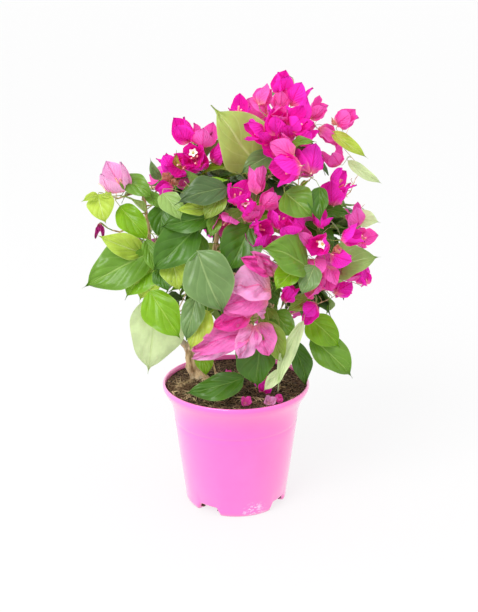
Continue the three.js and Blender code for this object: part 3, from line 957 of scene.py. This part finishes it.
def growFill(rng, name, count, shape, hidden):
    # twigs to even seeded places of the mass, each with a few leaves: in its rear half unless it is hidden
    centre, half = shape
    tones = list(fill["tones"])
    weights = np.array(list(fill["tones"].values()), float)
    for i in range(count):
        turn = i * fill["turn"] + rng.normal(0, 0.3)
        level = 1 - 2 * (i + 0.5) / count
        flat = math.sqrt(1 - level * level)
        way = row(math.cos(turn) * flat, math.sin(turn) * flat, level)
        if not hidden:
            way[1] = abs(way[1])
        goal = centre + way * half * rng.uniform(*fill["depth"])
        outward = unit(goal - crownMid + rng.normal(0, 0.02, 3))
        points, _ = growShoot(rng, goal, outward, growing["twig"], twigs)
        for j in range(fill["leavesEach"]):
            tone = tones[rng.choice(len(tones), p=weights / weights.sum())]
            length = rng.uniform(*leafForm["length"])
            turned = unit(outward + rng.normal(0, 0.7, 3))
            below = min(j * 2, len(points) - 2)  # how many points before the twig's last
            growLeaf(rng, points[-1 - below], turned, tone, length, shape)
        shielded = "back" in name and way[1] > 0.4 and abs(goal[0]) < hiddenSpray["within"] * crownHigh[0]
        if shielded and i % hiddenSpray["every"] < 2:
            growHiddenSpray(rng, goal, half, outward, i % 2)


def growLeads(rng, spray, shape):
    # the leaves and bracts that a mass is known by: rooted in its middle, with their tips towards its front
    centre, half = shape
    forward = spray.get("forward", 0)
    for key, kind in (("leaves", "bigLeaf"), ("bracts", "bigBract")):
        for tone, (across, up), (tipAcross, tipUp), wide in spray.get(key, []):
            base = centre + half * row(across / 10, -0.2 - forward, up / 10)
            tip = centre + half * row(tipAcross / 10, -0.75 - forward, tipUp / 10)
            facing = unit(row(0, -0.85, 0.5) + rng.normal(0, 0.16, 3))
            addBlade(
                rng, tone, kind, base, tip, facing, wide, fold=rng.uniform(0.12, 0.4),
                arch=rng.uniform(0.04, 0.12), wave=0.045, twist=0.25, droop=0.1,
            )
            growShoot(rng, base, tip - base + row(0, -10 * mm, 0), growing["stalk"], stalks)


def growBlooms(rng, spray, shape):
    # a cluster that fills its disc by the golden angle and opens outwards, with small closed buds among it
    centre, half = shape
    shown = iter([1] * spray.get("open", 0))
    for count, first, size, tones, (across, up), reach in spray.get("blooms", []):
        for i in range(count):
            tone = tones.split()[i % len(tones.split())]
            turn = math.radians(first + i * goldenAngle)
            ring = reach * math.sqrt((i + 0.25) / count)
            forward = -0.55 * (1 - ring) + rng.normal(0, 0.12)
            way = row(math.cos(turn) * ring, forward, math.sin(turn) * ring)
            foot = centre + (way + row(across / 10, 0, up / 10 - 0.25)) * half
            opened = next(shown, 0)
            facing = way * row(1, 0.5, 1) + row(0, -0.5 * opened, 0.4) + rng.normal(0, 0.3, 3)
            growBloom(rng, tone, foot, facing, size * rng.uniform(0.85, 1.1), opened)
    for _ in range(spray.get("buds", 0)):
        foot = centre + half * rng.uniform(-0.8, 0.8, 3)
        facing = row(0, -0.3, 1) + rng.normal(0, 0.4, 3)
        growBloom(rng, "bud", foot, facing, rng.uniform(9, 13), stalk=growing["budStalk"])


# the branches that carry the masses: the nearest to the fork grow first, and the next may leave from them
shapes = {name: massShape(name) for name in [*masses, *boughPlan]}
for name in sorted(masses, key=lambda name: float(np.linalg.norm(shapes[name][0] - fork))):
    rng = np.random.default_rng(100 + masses.index(name))
    centre, half = shapes[name]
    heart = centre + half * row(0, 0.3, -0.3)
    addLimb(*growShoot(rng, heart, centre - fork, growing["branch"], twigs))

for index, name in enumerate([*masses, "bough_front"]):
    rng = np.random.default_rng(300 + index)
    centre, half = shapes[name]
    spray = sprays.get(name)
    kind = name.split("_")[0]
    if spray:
        growLeads(rng, spray, shapes[name])
        growBlooms(rng, spray, shapes[name])
        # the filling stays in the rear half, behind what the mass is known by
        room = (centre + half * row(0, 0.5, 0), half * row(1, 0.6, 1))
        growFill(rng, name, spray.get("fill", fill.get(kind, 0)), room, False)
    elif "core" in name:
        growFill(rng, name, fill["core"], (centre, half), True)
    else:
        growFill(rng, name, fill["hidden"], (centre, half * 0.9), True)
print("shoots, leaves and blooms")

# Blooms that have fallen on the soil: (across, deep) in mm, then their length and tone.
fallen = [
    (10, -66, 13, "rose"), (36, -62, 14, "blush"), (46, -58, 12, "rose"), (30, -27, 25, "hot"),
    (-10, 20, 14, "rose"),
]
for index, (x, y, size, tone) in enumerate(fallen):
    spot = row(x * mm, y * mm, soilHeight(x * mm, y * mm) + 3 * mm)
    addBloom(np.random.default_rng(900 + index), tone, spot, row(0.3, -0.6, 1), size)

# Tones: the linear colours of the upper face, the underside and the veins, then how much light comes through.
# deep and shade are the darkest greens: partly the leaves' own tone, partly painted shade for leaves that
# stand behind others
leafTones = {
    "deep": ((0.065, 0.18, 0.012), (0.18, 0.3, 0.06), (0.17, 0.33, 0.06), 0.28),
    "shade": ((0.07, 0.13, 0.04), (0.22, 0.3, 0.11), (0.2, 0.29, 0.1), 0.25),
    "mid": ((0.14, 0.3, 0.025), (0.28, 0.42, 0.1), (0.32, 0.5, 0.11), 0.32),
    "fresh": ((0.22, 0.46, 0.012), (0.4, 0.58, 0.12), (0.42, 0.64, 0.1), 0.4),
    "lime": ((0.5, 0.68, 0.08), (0.62, 0.76, 0.22), (0.7, 0.84, 0.32), 0.45),
    "sage": ((0.165, 0.285, 0.09), (0.36, 0.48, 0.2), (0.36, 0.5, 0.2), 0.28),
    "olive": ((0.24, 0.36, 0.04), (0.44, 0.55, 0.15), (0.5, 0.6, 0.18), 0.36),
    "crest": ((0.41, 0.55, 0.12), (0.5, 0.62, 0.2), (0.64, 0.74, 0.3), 0.42),
    "light": ((0.32, 0.5, 0.13), (0.5, 0.66, 0.28), (0.55, 0.73, 0.3), 0.4),
    "pale": ((0.66, 0.8, 0.42), (0.76, 0.87, 0.54), (0.56, 0.72, 0.3), 0.48),
}
# the bracts' upper faces, the insides of each lantern, are a deeper crimson than the outsides: painted shade
# inside the blooms
bractTones = {
    "hot": ((0.98, 0.018, 0.52), (0.99, 0.04, 0.69), (0.95, 0.003, 0.36), 0.5),
    "rose": ((0.99, 0.1, 0.53), (0.99, 0.18, 0.66), (0.96, 0.02, 0.36), 0.5),
    "candy": ((0.99, 0.25, 0.66), (0.99, 0.34, 0.7), (0.98, 0.1, 0.48), 0.5),
    "blush": ((0.99, 0.46, 0.8), (0.99, 0.56, 0.84), (0.97, 0.18, 0.46), 0.5),
    "bud": ((0.9, 0.42, 0.28), (0.9, 0.5, 0.35), (0.75, 0.25, 0.2), 0.4),
    "withered": ((0.42, 0.02, 0.2), (0.6, 0.08, 0.32), (0.25, 0.01, 0.1), 0.3),
}


def bladeMaterial(name, top, under, vein, see, pairs, ribs, rim, heart, swell, roughness, gloss):
    # a thin blade: both faces, veins and margin, a heart that is paler near the stalk, and light through it
    material, tree, shader = newMaterial(name, roughness, gloss)
    chart = addNode(tree, "UVMap", uv_map="leafUv")["UV"]
    veins = addNode(tree, "Group", {"Map": chart, "Pairs": pairs}, node_tree=veinGroup)
    mottled = mixColour(tree, grain(tree, 60)["Mask"], tuple(value * 0.85 for value in top), top)
    behind = addNode(tree, "NewGeometry")["Backfacing"]
    lines = calc(tree, "MULTIPLY", veins["Veins"], 0.35 * ribs)
    lines = calc(tree, "MAXIMUM", lines, calc(tree, "MULTIPLY", veins["Midrib"], ribs))
    lines = calc(tree, "MAXIMUM", lines, calc(tree, "MULTIPLY", veins["Margin"], rim))
    colour = mixColour(tree, lines, mixColour(tree, behind, mottled, under), vein)
    if heart:
        colour = mixColour(tree, calc(tree, "MULTIPLY", veins["Heart"], 0.8), colour, heart)
    tree.links.new(colour, shader.inputs["Base Color"])
    height = calc(tree, "SUBTRACT", calc(tree, "MULTIPLY", veins["Swell"], 0.6), veins["Midrib"])
    normal = bump(tree, shader, height, swell, 1.2 * mm)
    through = addNode(tree, "BsdfTranslucent", {"Color": colour, "Normal": normal})[0]
    both = addNode(tree, "MixShader", {0: see, 1: shader.outputs[0], 2: through})[0]
    tree.links.new(both, tree.nodes["Material Output"].inputs["Surface"])
    return material


leafFinish = {
    "pairs": leafPairs, "ribs": 0.6, "rim": 0.4, "heart": None, "swell": 0.6, "roughness": 0.32, "gloss": 0.4,
}
bractFinish = {
    "pairs": 7, "ribs": 0.7, "rim": 0.25, "heart": (0.98, 0.42, 0.42), "swell": 0.7, "roughness": 0.6,
    "gloss": 0.15,
}
for tone, look in leafTones.items():
    material = bladeMaterial(tone + "Leaf", *look, **leafFinish)
    settle(joinBlades(tone + "Leaves", tone, ("leaf", "bigLeaf"), material), leafMasses)
for tone, look in bractTones.items():
    material = bladeMaterial(tone + "Bract", *look, **bractFinish)
    settle(joinBlades(tone + "Bracts", tone, ("bract", "bigBract"), material), blossomMasses)

greenStem = twoTone("greenStem", 0.55, 0.3, (0.2, 0.28, 0.06), (0.45, 0.5, 0.16), (70,), (700, 0.2, 0.2))
settle(stems("greenStalks", stalks, greenStem), leafMasses)
settle(stems("woodyTwigs", twigs, barkMaterial), masses)
tubeSkin = twoTone("tubeSkin", 0.6, 0.2, (0.85, 0.25, 0.3), (0.95, 0.7, 0.5), (90,))
settle(stems("flowerTubes", tubes, tubeSkin), blossomMasses)

# The open flowers: a five-lobed cream star with a sunk green eye, in millimetres.
star = {"radius": 4.4, "eye": 1.5, "lobe": 0.2, "lobes": 5, "depth": 1.2, "turns": 20}


def starPart(bm, place, way, outer, inner, lift):
    # one flaring ring of the star, lobed along its outer edge
    made = bmesh.ops.create_cone(
        bm, cap_ends=False, segments=star["turns"], radius1=inner * mm, radius2=outer * mm,
        depth=star["depth"] * mm,
    )["verts"]
    for vert in made:
        if vert.co.z > 0:
            vert.co.xy *= 1 + star["lobe"] * math.cos(star["lobes"] * math.atan2(vert.co.y, vert.co.x))
    aimed(bm, made, way, place + way * lift * mm)


def makeStars(name, outer, inner, lift, material):
    bm = bmesh.new()
    for place, way in stars:
        starPart(bm, place, way, outer, inner, lift)
    return finished(name, bm, material)


petals = twoTone("creamPetal", 0.6, 0.2, (0.93, 0.9, 0.78), (0.99, 0.98, 0.94), (300,))
eyes = twoTone("greenEye", 0.6, 0.2, (0.4, 0.5, 0.1), (0.75, 0.75, 0.3), (400,))
settle(makeStars("openFlowers", star["radius"], star["eye"], 0.6, petals), blossomMasses)
settle(makeStars("flowerEyes", star["eye"], 0.2, 0.4, eyes), blossomMasses)
print("joined pieces:", {f"{tone} {kind}": len(places) for (tone, kind), places in sorted(blades.items())})
